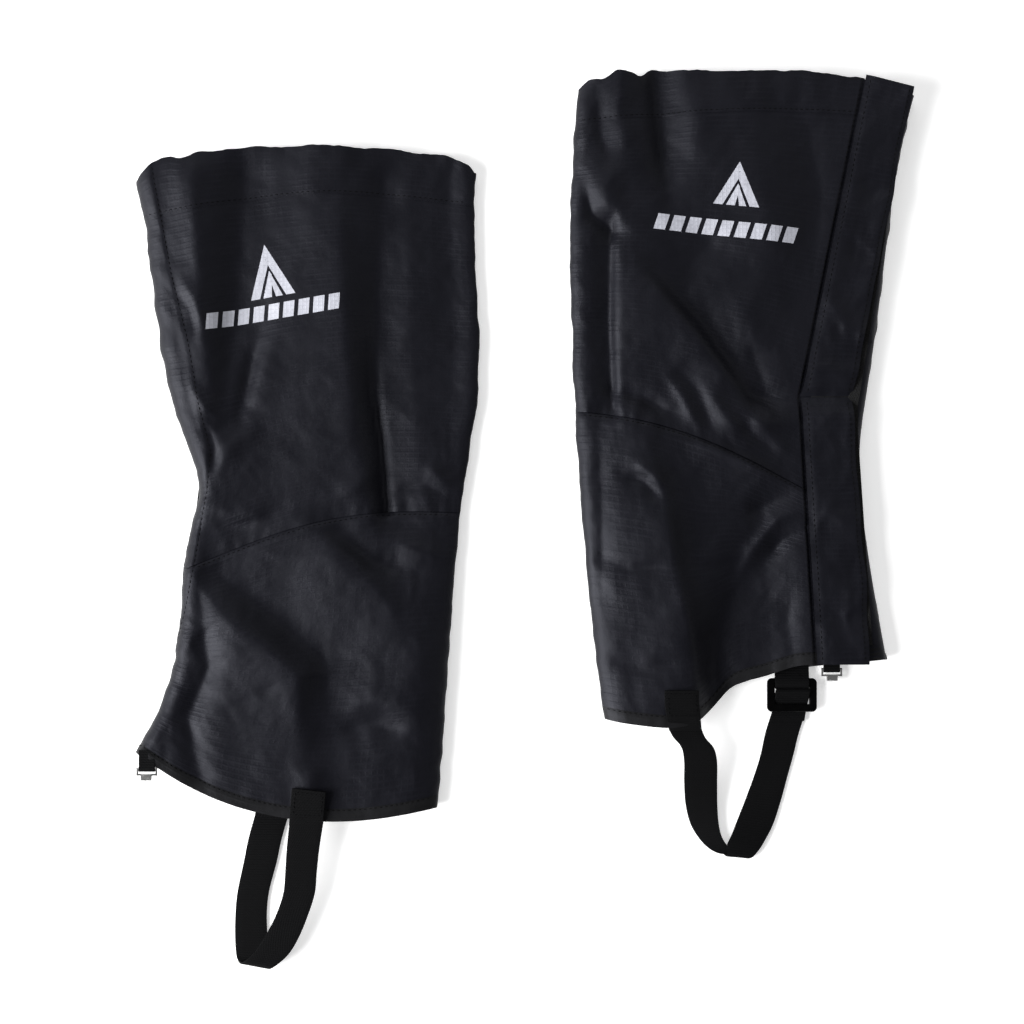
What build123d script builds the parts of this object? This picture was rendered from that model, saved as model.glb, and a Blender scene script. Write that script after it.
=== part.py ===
from build123d import *
import os

# A pair of gaiters lying flat side by side, each on its inner (medial) side.
# Millimetres, +Z up, the floor at Z = 0, the calf end towards +Y.
# The left gaiter's front edge faces -X and the right gaiter's faces +X.

os.makedirs("parts", exist_ok=True)

# ---------------------------------------------------------------- driving dimensions
FABRIC = 1.0             # coated nylon with the bulk of its creases and seam allowances
HEM_WALL = 1.6           # turned hem band, several layers of fabric
CASING_WALL = 3.0        # top casing: fabric, elastic, fabric
HEIGHT = 15.0            # a gaiter lying flat, from the floor to its upper layer
HALF = HEIGHT / 2        # splits a flat tube into its floor layer and its upper layer
HEM_BAND = 8.0           # width of the hem band
FAR = 40.0               # how far a cutting outline runs past the fabric

WEBBING = 1.4            # thickness of the instep strap
WEB_WIDTH = 20.0         # width of the webbing, which the buckle and its tab share
TAB_LAYER = 1.2          # webbing of the tab and of the strap's buckle end
RUNNING = 0.06           # radial clearance of a webbing eye on its bar

MARGIN_Z = 10.0          # right gaiter: underside of the margin below the flap
LEFT_MARGIN_Z = 3.5      # left gaiter: underside of the margin above the flap
TAPE_INSET = 5.0         # hook tape stops this far short of a flap section's ends

BUCKLE_W, BUCKLE_H, BUCKLE_T = 31.0, 21.0, 2.5
BUCKLE_Z = 2.5           # underside of the buckle
BAR_Z = 3.75             # centre of the buckle's round bars
BAR_R = 1.25
TOP_BAR, MIDDLE_BAR = 2.4, 10.4     # bars below the buckle's upper edge
SLOT_END = 16.2          # lower end of the buckle's slots below its upper edge

HOOK_BAR_R = 0.8
HOOK_W = 13.0
HOOK_ARM = 1.2
HOOK_REACH = 4.4         # from the hook's bar to the root of its tongue
HOOK_TAB_W = 10.0


# ---------------------------------------------------------------- the two gaiters
class Gaiter:
    """Named outlines of one gaiter: lines run from -X to +X, edges from the calf down."""


left = Gaiter()
left.name = "left"
left.low_edge = [(-242, 209), (-233.4, 157), (-224.4, 94), (-213.8, 56), (-203.5, 22),
                 (-210, -15), (-214.3, -58), (-226.9, -115), (-243, -144.4)]
left.high_edge = [(-30.5, 213), (-28.3, 118), (-28.3, 86), (-37, 25), (-45.8, -68), (-53.8, -179.2)]
left.top = [(-242, 209), (-231, 220.4), (-160, 230.5), (-88, 230), (-42, 224.2), (-30.5, 213)]
left.casing = [(-290, 178), (-235, 188), (-120, 203), (-40, 197), (10, 192)]
left.seam = [(-250, -46), (-198.5, -25.8), (-127.3, -1.2), (-86, 4.6), (-38, 4.3), (0, 3)]
left.hem = [(-243, -144.4), (-211, -164.2), (-168, -181), (-104, -187), (-53.8, -179.2)]
left.medial_hem = [(-243, -144.4), (-157, -155.5), (-53.8, -179.2)]

right = Gaiter()
right.name = "right"
right.low_edge = [(33.9, 266), (29, 200), (29.5, 124), (33.4, 37), (41.7, -60), (49.9, -124.1)]
right.high_edge = [(243, 264), (231, 209), (221.8, 138), (213, 76), (209.5, 50), (213, -12),
                   (219, -50), (225.7, -87)]
right.top = [(33.9, 266), (60, 276.2), (124, 277.9), (200, 275.7), (243, 264)]
right.casing = [(-10, 243), (33, 247), (124, 253.5), (205, 252), (270, 244)]
right.seam = [(10, 67), (56.7, 64.5), (106.3, 51.7), (166.4, 23), (240, -12)]
right.hem = [(49.9, -124.1), (75, -127.8), (105, -126), (119.5, -115), (129, -105), (150, -97.5),
             (170, -91), (200, -91), (225.7, -87)]
right.medial_hem = [(49.9, -124.1), (121, -107.5), (166, -93.5), (225.7, -87)]

# Flap sections: hinge end at the calf, hinge end at the foot, then the two free corners.
left.flaps = {"upper": [(-239.6, 198), (-205.1, 36), (-173.8, 42.7), (-208.3, 204.6)],
              "lower": [(-204.3, 20), (-223, -128), (-191.3, -132), (-172.6, 16)]}
right.flaps = {"upper": [(211.2, 271.5), (171.8, 76.3), (203.5, 76.3), (240.5, 264)],
               "lower": [(171.8, 75.7), (181.7, -90), (214.5, -90), (203.5, 75.7)]}
# Space of the flap and its tapes, and the inner limit of the margin that it closes on.
left.flap_limit = [(-202, 240), (-165, 24), (-190, -200)]
right.flap_limit = [(214.6, 290), (171.5, 76), (182.2, -104)]
left.margin_limit = [(-201, 240), (-164, 24), (-189, -200)]
right.margin_limit = [(208, 290), (167.5, 76), (178, -104)]
# Closure: underside of the flap, of its hook tape and of the loop tape, and the tapes' height.
left.closure = (0.0, 1.0, 2.4, 1.1)
right.closure = (HEIGHT - FABRIC, HEIGHT - FABRIC - 1.3, MARGIN_Z + FABRIC, 1.3)
left.loop_tape = [(-232, 186), (-198, 24), (-218, -128), (-192, -128), (-170, 26), (-205, 186)]
right.loop_tape = [(206, 240), (178, 76), (187, -78), (216, -78), (207, 55), (207, 70), (234, 240)]

# Elastics: the casing's one starts at the flap's seam, the ankle's one sits in the back half.
left.casing_elastic = [(-200, 260), (-194, 150), (0, 150), (0, 260)]
left.ankle_elastic = [(-86, 60), (-86, -40), (0, -40), (0, 60)]
right.casing_elastic = [(203, 300), (195, 200), (0, 200), (0, 300)]
right.ankle_elastic = [(90, 110), (90, 10), (0, 10), (0, 110)]

# Strap's sewn end: centre, upper end and lower end just past the hem.
left.sewn_end = (-134, -166, -190)
right.sewn_end = (97.5, -105, -130)
# Buckle: centre, upper edge, sewn end of its tab, end of the doubled strap below it.
left.buckle = (-157, -159, -149, -187)
right.buckle = (167, -99, -88, -126)
# Lace hook: centre, bar, bar height, underside and sewn end of its tab.
left.hook = (-234, -154.5, 12.4, 11.4, -143)
right.hook = (192, -93.5, 2.6, HEM_WALL, -83)

# Strap legs: both edges in the plan, then the leg's underside as (Y, Z).
left.legs = [
    ([(-149, -204), (-150, -232), (-158, -255), (-175, -275)],
     [(-127.5, -204), (-130, -232), (-138, -255), (-155, -275)],
     [(-200, 12.8), (-240, 9.6), (-275, 7.2)]),
    ([(-173, -204), (-179, -232), (-180.5, -255), (-177, -275)],
     [(-152, -204), (-159, -232), (-160.5, -255), (-157, -275)],
     [(-200, 0), (-275, 0)]),
]
left.strap_bend = (-166, -275, 22)
right.legs = [
    ([(98.5, -144), (99.5, -167), (104.7, -192), (116, -206)],
     [(118.5, -144), (120, -177), (121.5, -192), (127, -206)],
     [(-140, 13.2), (-190, 0), (-215, 0)]),
    ([(148, -144), (138.6, -173.5), (130, -193), (115, -205)],
     [(168.5, -144), (160, -175.5), (151, -199), (135, -212)],
     [(-140, 0), (-215, 0)]),
]
right.strap_bend = None


# ---------------------------------------------------------------- small helpers
def shifted(points, dx=0.0, dy=0.0):
    """The same points moved in the plan."""
    return [(x + dx, y + dy) for x, y in points]


def save(part, name):
    """Labels a finished piece and writes its STEP file."""
    part.label = name
    export_step(part, f"parts/{name}.step")


def insets(gaiter, front, back):
    """Edge walls in the order (-X edge, +X edge)."""
    return (front, back) if gaiter is left else (back, front)


def front_side(gaiter, limit):
    """Outline of everything on the front side of a three-point limit."""
    top, knee, foot = limit
    away = -3 * FAR if gaiter is left else 3 * FAR
    return [top, knee, foot, (foot[0] + away, foot[1]), (top[0] + away, top[1])]


def plate(points, low, high):
    """Flat piece with a straight-sided outline."""
    with BuildPart() as piece:
        with BuildSketch(Plane.XY.offset(low)):
            with BuildLine():
                Polyline(*points, close=True)
            make_face()
        extrude(amount=high - low)
    return piece.part


def band(upper, lower, low, high):
    """Block between two smooth lines across the gaiter, for cutting the tube into panels."""
    with BuildPart() as piece:
        with BuildSketch(Plane.XY.offset(low)):
            with BuildLine():
                upper_line = Spline(*upper)
                lower_line = Spline(*lower)
                Line(upper_line @ 0, lower_line @ 0)
                Line(upper_line @ 1, lower_line @ 1)
            make_face()
        extrude(amount=high - low)
    return piece.part


def hem_line(points, rise=0.0):
    """A hem's curve, carried on past both corners."""
    first, last = points[0], points[-1]
    curve = [(first[0] - FAR, first[1] + FAR / 3), *points, (last[0] + FAR, last[1] + FAR / 6)]
    return shifted(curve, dy=rise)


# ---------------------------------------------------------------- fabric tube and its panels
def core(gaiter, wall, inset_low, inset_high):
    """The space inside a flat tube; it runs out past the calf end and the foot end."""
    crown = max(y for x, y in gaiter.top) + FAR
    sole = min(y for x, y in gaiter.hem) - FAR
    with BuildPart() as piece:
        with BuildSketch(Plane.XY.offset(wall)):
            with BuildLine():
                near = Spline(*shifted(gaiter.low_edge, dx=inset_low))
                far = Spline(*shifted(gaiter.high_edge, dx=-inset_high))
                Polyline(near @ 0, ((near @ 0).X, crown), ((far @ 0).X, crown), far @ 0)
                Polyline(near @ 1, ((near @ 1).X, sole), ((far @ 1).X, sole), far @ 1)
            make_face()
        extrude(amount=HEIGHT - 2 * wall)
    return piece.part


def tube(gaiter, wall):
    """Tube of fabric lying flat: open at the calf and at the foot, folded at both edges."""
    foot = min(y for x, y in gaiter.hem) - FAR / 2
    with BuildPart() as piece:
        with BuildSketch():
            with BuildLine():
                near = Spline(*gaiter.low_edge)
                far = Spline(*gaiter.high_edge)
                Spline(*gaiter.top)
                Polyline(near @ 1, ((near @ 1).X, foot), ((far @ 1).X, foot), far @ 1)
            make_face()
        extrude(amount=HEIGHT)
        add(core(gaiter, wall, *insets(gaiter, FABRIC, wall)), mode=Mode.SUBTRACT)
    return piece.part


def panel(gaiter, wall, upper_zone, floor_zone):
    """Part of the tube inside two zones: one for its upper layer, one for its floor layer."""
    if gaiter is left:
        closure = plate(front_side(gaiter, gaiter.flap_limit), 0, LEFT_MARGIN_Z)
    else:
        closure = plate(front_side(gaiter, gaiter.flap_limit), MARGIN_Z + FABRIC, HEIGHT)
    with BuildPart() as piece:
        add(tube(gaiter, wall))
        add(upper_zone + floor_zone, mode=Mode.INTERSECT)
        add(closure, mode=Mode.SUBTRACT)
    return piece.part


def elastic(gaiter, upper, lower, ends):
    """Flat elastic that runs round the back fold between the fabric's layers."""
    with BuildPart() as piece:
        add(core(gaiter, FABRIC, *insets(gaiter, 2 * FABRIC, FABRIC)))
        add(core(gaiter, 2 * FABRIC, *insets(gaiter, -FAR, 2 * FABRIC)), mode=Mode.SUBTRACT)
        add(band(upper, lower, 0, HEIGHT), mode=Mode.INTERSECT)
        add(plate(ends, 0, HEIGHT), mode=Mode.INTERSECT)
    return piece.part


def margin(gaiter):
    """Front edge of the medial panel, which the flap closes on."""
    outline = front_side(gaiter, gaiter.margin_limit)
    if gaiter is left:
        step = [*gaiter.margin_limit, *reversed(gaiter.flap_limit)]
        layers = plate(outline, LEFT_MARGIN_Z, LEFT_MARGIN_Z + FABRIC)
        layers = layers + plate(step, FABRIC, LEFT_MARGIN_Z)
    else:
        layers = plate(outline, MARGIN_Z, MARGIN_Z + FABRIC)
    stitch = hem_line(gaiter.medial_hem, HEM_BAND)
    with BuildPart() as piece:
        add(core(gaiter, FABRIC, *insets(gaiter, FABRIC, FABRIC)))
        add(band(gaiter.casing, stitch, 0, HEIGHT), mode=Mode.INTERSECT)
        add(layers, mode=Mode.INTERSECT)
    return piece.part


def hook_tape(outline, low, height):
    """Strip of hook tape on a flap section, clear of its hinge and its free edge."""
    root_top, root_foot, free_foot, free_top = [Vector(*point) for point in outline]
    inward = (root_foot - root_top).normalized() * TAPE_INSET
    top, foot = root_top + inward, root_foot - inward
    across_top, across_foot = free_top - root_top, free_foot - root_foot
    corners = [top + across_top * 0.15, foot + across_foot * 0.15,
               foot + across_foot * 0.9, top + across_top * 0.9]
    return plate([(corner.X, corner.Y) for corner in corners], low, low + height)


# ---------------------------------------------------------------- webbing and hardware
def doubled_webbing(x, bar_y, bar_z, bar_r, width, layer, low, end_y):
    """Webbing folded round a bar: an eye with running clearance and a flat doubled tail."""
    eye = bar_r + RUNNING
    with BuildPart() as piece:
        with BuildSketch(Plane.YZ.offset(x - width / 2)):
            with Locations((bar_y, bar_z)):
                Circle(eye + layer)
            with Locations(((bar_y + end_y) / 2, low + layer)):
                Rectangle(abs(end_y - bar_y), 2 * layer)
            with Locations((bar_y, bar_z)):
                Circle(eye, mode=Mode.SUBTRACT)
        extrude(amount=width)
    return piece.part


def round_bar(x, y, z, radius, length):
    """Round bar along X."""
    with BuildPart() as piece:
        with BuildSketch(Plane.YZ.offset(x - length / 2)):
            with Locations((y, z)):
                Circle(radius)
        extrude(amount=length)
    return piece.part


def slider_buckle(x, top_y):
    """Three-bar slider: two round bars for the webbing eyes and a flat lower bar."""
    slot_w = WEB_WIDTH + 1.5
    slot_h = SLOT_END + 2
    with BuildPart() as piece:
        with BuildSketch(Plane.XY.offset(BUCKLE_Z)):
            with Locations((x, top_y - BUCKLE_H / 2)):
                RectangleRounded(BUCKLE_W, BUCKLE_H, 3)
            with Locations((x, top_y + 2 - slot_h / 2)):
                Rectangle(slot_w, slot_h, mode=Mode.SUBTRACT)
        extrude(amount=BUCKLE_T)
        chamfer(piece.faces().sort_by(Axis.Z)[-1].edges(), length=0.4)
        add(round_bar(x, top_y - TOP_BAR, BAR_Z, BAR_R, slot_w + 1))
        add(round_bar(x, top_y - MIDDLE_BAR, BAR_Z, BAR_R, slot_w + 1))
    return piece.part


def lace_hook(x, bar_y, bar_z):
    """Boot-lace hook: a bar in its tab's eye, two arms, and a tongue turned back on itself."""
    root = bar_y - HOOK_REACH
    window = HOOK_REACH - HOOK_ARM + 1
    with BuildPart() as piece:
        with BuildSketch(Plane.XY.offset(bar_z - HOOK_ARM / 2)):
            with Locations((x, bar_y - HOOK_REACH / 2)):
                Rectangle(HOOK_W, HOOK_REACH)
            with Locations((x, bar_y + 1 - window / 2)):
                Rectangle(HOOK_W - 2 * HOOK_ARM, window, mode=Mode.SUBTRACT)
        extrude(amount=HOOK_ARM)
        add(round_bar(x, bar_y, bar_z, HOOK_BAR_R, HOOK_W))
        with BuildSketch(Plane.YZ.offset(x - HOOK_W / 4)):
            with BuildLine():
                shank = Line((root + HOOK_ARM, bar_z), (root - 1.2, bar_z))
                bend = TangentArc(shank @ 1, shank @ 1 + Vector(0, 3.2), tangent=(-1, 0))
                Line(bend @ 1, bend @ 1 + Vector(2.4, 0))
            trace(line_width=HOOK_ARM)
        extrude(amount=HOOK_W / 2)
    return piece.part


def strap_leg(one, other, underside):
    """Strap leg: its outline in the plan, cut to a thin layer that rises along Y."""
    topside = shifted(underside, dy=WEBBING)
    with BuildPart() as piece:
        with BuildSketch():
            with BuildLine():
                one_edge = Spline(*one)
                other_edge = Spline(*other)
                Line(one_edge @ 0, other_edge @ 0)
                Line(one_edge @ 1, other_edge @ 1)
            make_face()
        extrude(amount=2 * HEIGHT)
        with BuildSketch(Plane.YZ.offset(-10 * FAR)):
            with BuildLine():
                Polyline(*underside, *reversed(topside), close=True)
            make_face()
        extrude(amount=20 * FAR, mode=Mode.INTERSECT)
    return piece.part


def strap_bend(x, y, width, height):
    """Half turn that joins the strap's two legs below the instep."""
    radius = height / 2
    with BuildPart() as piece:
        with BuildSketch(Plane.YZ.offset(x - width / 2)):
            with Locations((y, radius)):
                Circle(radius)
                Circle(radius - WEBBING, mode=Mode.SUBTRACT)
            with Locations((y + radius, radius)):
                Rectangle(2 * radius, 3 * radius, mode=Mode.SUBTRACT)
        extrude(amount=width)
    return piece.part


# ---------------------------------------------------------------- one gaiter, piece by piece
def make_fabric(gaiter):
    """Casing, panels, hem and elastics."""
    name = gaiter.name
    hem = hem_line(gaiter.hem)
    medial_hem = hem_line(gaiter.medial_hem)
    stitch = hem_line(gaiter.hem, HEM_BAND)
    medial_stitch = hem_line(gaiter.medial_hem, HEM_BAND)
    crown = shifted(gaiter.casing, dy=2 * FAR)

    top_elastic = elastic(gaiter, shifted(gaiter.casing, dy=18), shifted(gaiter.casing, dy=3),
                          gaiter.casing_elastic)
    with BuildPart() as casing:
        add(panel(gaiter, CASING_WALL, band(crown, gaiter.casing, HALF, HEIGHT),
                  band(crown, gaiter.casing, 0, HALF)))
        add(top_elastic, mode=Mode.SUBTRACT)
    save(casing.part, f"{name}_top_casing")
    save(top_elastic, f"{name}_top_elastic")

    save(panel(gaiter, FABRIC, band(gaiter.casing, gaiter.seam, HALF, HEIGHT),
               band(gaiter.casing, gaiter.seam, 0, HALF)), f"{name}_calf_panel")
    save(panel(gaiter, FABRIC, band(gaiter.seam, stitch, HALF, HEIGHT),
               band(gaiter.seam, medial_stitch, 0, HALF)), f"{name}_ankle_panel")
    save(elastic(gaiter, shifted(gaiter.seam, dy=12), shifted(gaiter.seam, dy=2),
                 gaiter.ankle_elastic), f"{name}_ankle_elastic")
    save(panel(gaiter, HEM_WALL, band(stitch, hem, HALF, HEIGHT),
               band(medial_stitch, medial_hem, 0, HALF)), f"{name}_hem_binding")
    save(margin(gaiter), f"{name}_front_margin")


def make_closure(gaiter):
    """Flap in two sections, each with its hook tape, and the loop tape on the margin."""
    name = gaiter.name
    flap_z, hook_z, loop_z, tape = gaiter.closure
    save(plate(gaiter.loop_tape, loop_z, loop_z + tape), f"{name}_loop_tape")
    for level, outline in gaiter.flaps.items():
        save(plate(outline, flap_z, flap_z + FABRIC), f"{name}_flap_{level}")
        save(hook_tape(outline, hook_z, tape), f"{name}_hook_tape_{level}")


def make_trims(gaiter):
    """Instep strap, its buckle and tab, and the lace hook with its tab."""
    name = gaiter.name
    strap_x, sewn_top, sewn_foot = gaiter.sewn_end
    with BuildPart() as sewn_end:
        with BuildSketch(Plane.XY.offset(HEIGHT)):
            with Locations((strap_x, (sewn_top + sewn_foot) / 2)):
                Rectangle(WEB_WIDTH, sewn_top - sewn_foot)
        extrude(amount=WEBBING)
    save(sewn_end.part, f"{name}_strap_sewn_end")

    with BuildPart() as strap:
        for one, other, underside in gaiter.legs:
            add(strap_leg(one, other, underside))
        if gaiter.strap_bend:
            bend_x, bend_y, bend_w = gaiter.strap_bend
            upper_leg = gaiter.legs[0][2]
            add(strap_bend(bend_x, bend_y, bend_w, upper_leg[-1][1] + WEBBING))
    save(strap.part, f"{name}_instep_strap")

    buckle_x, buckle_y, tab_y, end_y = gaiter.buckle
    save(slider_buckle(buckle_x, buckle_y), f"{name}_buckle")
    save(doubled_webbing(buckle_x, buckle_y - TOP_BAR, BAR_Z, BAR_R, WEB_WIDTH, TAB_LAYER,
                         HEM_WALL, tab_y), f"{name}_buckle_tab")
    save(doubled_webbing(buckle_x, buckle_y - MIDDLE_BAR, BAR_Z, BAR_R, WEB_WIDTH, TAB_LAYER,
                         0, end_y), f"{name}_strap_buckle_end")

    hook_x, hook_y, hook_z, tab_z, tab_end = gaiter.hook
    save(lace_hook(hook_x, hook_y, hook_z), f"{name}_lace_hook")
    save(doubled_webbing(hook_x, hook_y, hook_z, HOOK_BAR_R, HOOK_TAB_W, FABRIC, tab_z, tab_end),
         f"{name}_hook_tab")


for each in (left, right):
    make_fabric(each)
    make_closure(each)
    make_trims(each)
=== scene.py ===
import math

import bpy
import numpy as np
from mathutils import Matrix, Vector
from mathutils.bvhtree import BVHTree


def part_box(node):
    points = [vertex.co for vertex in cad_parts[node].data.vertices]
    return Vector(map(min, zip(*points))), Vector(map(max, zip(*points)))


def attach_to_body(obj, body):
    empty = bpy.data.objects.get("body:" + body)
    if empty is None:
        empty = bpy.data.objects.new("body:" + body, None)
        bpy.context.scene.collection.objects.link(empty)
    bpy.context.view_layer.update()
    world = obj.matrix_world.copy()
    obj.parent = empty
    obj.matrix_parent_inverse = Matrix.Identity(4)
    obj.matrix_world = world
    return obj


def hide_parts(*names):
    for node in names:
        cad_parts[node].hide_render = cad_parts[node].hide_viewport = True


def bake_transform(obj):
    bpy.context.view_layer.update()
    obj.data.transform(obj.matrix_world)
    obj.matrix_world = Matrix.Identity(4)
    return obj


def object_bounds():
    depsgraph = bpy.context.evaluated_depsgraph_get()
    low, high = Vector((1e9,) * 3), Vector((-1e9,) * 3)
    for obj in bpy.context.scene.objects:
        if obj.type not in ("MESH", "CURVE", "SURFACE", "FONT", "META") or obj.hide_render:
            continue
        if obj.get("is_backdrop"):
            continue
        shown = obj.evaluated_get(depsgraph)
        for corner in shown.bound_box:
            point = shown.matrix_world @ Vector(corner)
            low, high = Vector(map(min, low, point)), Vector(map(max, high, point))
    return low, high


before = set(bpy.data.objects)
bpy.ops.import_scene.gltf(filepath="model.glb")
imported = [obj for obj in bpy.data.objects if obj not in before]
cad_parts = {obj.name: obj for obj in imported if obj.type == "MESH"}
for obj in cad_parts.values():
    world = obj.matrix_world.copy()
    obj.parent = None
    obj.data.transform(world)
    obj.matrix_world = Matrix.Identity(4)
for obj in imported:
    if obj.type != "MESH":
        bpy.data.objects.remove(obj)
cad_low, cad_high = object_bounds()
scene = bpy.context.scene

# All lengths below are in millimetres, in the frame's own axes; MM turns them into metres.
MM = 0.001
HEIGHT = 15.0  # upper surface of a gaiter lying flat
LIE = 13.2  # mean height of the upper layers' outer surface
CLOTH = 0.45  # visible thickness of the coated nylon
HEM_CLOTH = 1.3  # turned and stitched hem band
WEB = 1.4  # thickness of the webbing
STITCH = 2.3  # length of one stitch
STITCH_STEP = 3.3  # from the start of one stitch to the next
UV_PER_MM = 0.01


# ---- outlines read from the frame
def cad_edges(names):
    """Both ends of every mesh edge of some CAD nodes, in millimetres."""
    ends = []
    for name in names:
        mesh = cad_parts[name].data
        points = np.array([v.co for v in mesh.vertices]) / MM
        pairs = np.array([e.vertices[:] for e in mesh.edges])
        ends.append(points[pairs])
    return np.concatenate(ends)


class Line:
    """A smooth table of one coordinate against the other, read where CAD nodes are cut."""

    def __init__(self, names, axis, highest, low=-1.0, high=99.0, step=1.0):
        edges = cad_edges(names)
        a, b = edges[:, 0], edges[:, 1]
        start = edges[:, :, axis].min() + 0.05
        stop = edges[:, :, axis].max() - 0.05
        self.at, self.value = [], []
        for cut in np.arange(start, stop, step):
            crosses = (a[:, axis] - cut) * (b[:, axis] - cut) < 0
            p, q = a[crosses], b[crosses]
            share = ((cut - p[:, axis]) / (q[:, axis] - p[:, axis]))[:, None]
            hit = p + (q - p) * share
            hit = hit[(hit[:, 2] >= low) & (hit[:, 2] <= high)]
            if len(hit):
                other = hit[:, 1 - axis]
                self.at.append(cut)
                self.value.append(other.max() if highest else other.min())

    def between(self, low, high):
        """The same line, used only between two places and level beyond them."""
        kept = [(a, v) for a, v in zip(self.at, self.value) if low <= a <= high]
        self.at, self.value = [a for a, _ in kept], [v for _, v in kept]
        return self

    def without_steep_ends(self, limit=2.0):
        """The same line without its ends where it runs along the node's side edge."""
        slope = np.abs(np.gradient(self.value, self.at))
        gentle = np.nonzero(slope < limit)[0]
        return self.between(self.at[gentle[0]] + 1, self.at[gentle[-1]] - 1)

    def __call__(self, where):
        return np.interp(where, self.at, self.value)


# ---- shape functions
def smooth(low, high, value):
    """0 below low, 1 above high, smooth between."""
    t = np.clip((value - low) / (high - low), 0, 1)
    return t * t * (3 - 2 * t)


def mix(a, b, share):
    """a where share is 0, b where it is 1."""
    return a * (1 - share) + b * share


def hump(value, middle, width):
    """1 at middle, falling smoothly to 0 about twice width away from it."""
    return np.exp(-((value - middle) / width) ** 2)


def noise(x, y, scale, seed):
    """Gradient noise in the plan, about -1 to 1, one cell per scale."""
    x, y = np.asarray(x) / scale + 31.7 * seed, np.asarray(y) / scale - 17.3 * seed
    xi, yi = np.floor(x), np.floor(y)
    xf, yf = x - xi, y - yi

    def corner(dx, dy):
        turn = np.sin((xi + dx) * 127.1 + (yi + dy) * 311.7 + seed * 74.7) * 43758.5453
        angle = (turn - np.floor(turn)) * 2 * math.pi
        return np.cos(angle) * (xf - dx) + np.sin(angle) * (yf - dy)

    u = xf ** 3 * (xf * (xf * 6 - 15) + 10)
    v = yf ** 3 * (yf * (yf * 6 - 15) + 10)
    low, high = mix(corner(0, 0), corner(1, 0), u), mix(corner(0, 1), corner(1, 1), u)
    return 1.5 * mix(low, high, v)


# Corners of each gaiter in the plan: calf end's -X and +X corners, then the foot end's.
CORNERS = {
    "left": [(-242, 209), (-30.5, 213), (-243, -144.4), (-53.8, -179.2)],
    "right": [(33.9, 266), (243, 264), (49.9, -124.1), (225.7, -87)],
}
HEM_BAND = 8.0
# Bumps and dips that the elastic pulls into the calf opening's edge: place, rise and width.
TOP_BUMPS = {
    "left": [(-212, -5.6, 8), (-190, -3.2, 15), (-127, 3.2, 26), (-62, -3.0, 20), (-33, 2.5, 6)],
    "right": [(41, 3.4, 6), (58, 2.7, 5), (72, -3.4, 4.5), (80, 1.5, 4), (150, 1.4, 16), (199, -2.0, 10)],
}


class Gaiter:
    """One gaiter's outlines, all of them read from its CAD nodes."""

    def __init__(self, name):
        self.name = name
        self.front_is_low = name == "left"
        node = lambda piece: f"{name}_{piece}"
        tube = [node("top_casing"), node("calf_panel"), node("ankle_panel"), node("hem_binding")]
        half = HEIGHT / 2
        (ax, ay), (bx, by), (cx, cy), (dx, dy) = CORNERS[name]
        self.low = Line(tube, 1, False).between(cy, ay)
        self.high = Line(tube, 1, True).between(dy, by)
        self.top_line = Line([node("top_casing")], 0, True).between(ax + 0.3, bx - 0.3)
        self.casing = Line([node("top_casing")], 0, False).without_steep_ends()
        self.seam = Line([node("calf_panel")], 0, False).without_steep_ends()
        self.hem = Line([node("hem_binding")], 0, False, low=half).between(cx + 0.3, dx - 0.3)
        self.medial_hem = Line([node("hem_binding")], 0, False, high=half).between(cx + 0.3, dx - 0.3)
        self.flap_low = Line([node("flap_upper"), node("flap_lower")], 1, False)

    def top(self, x):
        bumps = sum(rise * hump(x, at, width) for at, rise, width in TOP_BUMPS[self.name])
        return self.top_line(x) + bumps + 1.0 * noise(x, x * 0, 13, 75) + 0.6 * noise(x, x * 0, 5, 76)

    def stitch(self, x):
        return self.hem(x) + HEM_BAND

    def medial_stitch(self, x):
        return self.medial_hem(x) + HEM_BAND

    def front(self, y):
        wave = 0.9 * noise(y, y * 0, 17, 71) + 0.6 * noise(y, y * 0, 7, 72)
        return (self.low(y) if self.front_is_low else self.high(y)) + wave

    def back(self, y):
        wave = 0.8 * noise(y, y * 0, 21, 73) + 0.4 * noise(y, y * 0, 8, 74)
        return (self.high(y) if self.front_is_low else self.low(y)) + wave


left, right = Gaiter("left"), Gaiter("right")


def crumple(x, y, scale, seed):
    """Crisp wrinkles of coated nylon: straight sharp ridges with slack cloth between them."""
    wx = x + 0.35 * scale * noise(x, y, scale * 1.3, seed + 5)
    wy = y + 0.35 * scale * noise(x, y, scale * 1.3, seed + 9)
    return 0.55 - np.abs(noise(wx, wy, scale, seed)) * 1.7


def fold(x, y, path, rise, before, after, start=1.0, end=1.0, power=1.55):
    """Ridge (rise above 0) or valley along a path; its two sides have their own widths.
    before is the width on the path's left side, as one walks along it, and after on its right.
    start and end scale its height at the path's two ends."""
    path = np.array(path, float)
    best = np.full(np.shape(x), 1e9)
    along = np.zeros(np.shape(x))
    lean = np.zeros(np.shape(x))
    lengths = np.hypot(*np.diff(path, axis=0).T)
    reach = np.concatenate([[0], np.cumsum(lengths)]) / lengths.sum()
    for i, (a, b) in enumerate(zip(path[:-1], path[1:])):
        d = b - a
        t = np.clip(((x - a[0]) * d[0] + (y - a[1]) * d[1]) / (d @ d), 0, 1)
        dx, dy = x - a[0] - t * d[0], y - a[1] - t * d[1]
        distance = np.hypot(dx, dy)
        nearer = distance < best
        best = np.where(nearer, distance, best)
        along = np.where(nearer, reach[i] + t * (reach[i + 1] - reach[i]), along)
        aside = (d[0] * dy - d[1] * dx) / (lengths[i] * np.maximum(distance, 1e-6))
        lean = np.where(nearer, aside, lean)
    width = (before + after) / 2 + (before - after) / 2 * lean
    strength = start + (1 - start) * smooth(0, 0.35, along) + (end - 1) * smooth(0.65, 1, along)
    return rise * strength * np.exp(-(best / width) ** power)


FOLD_DEPTH = 1.35
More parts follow.
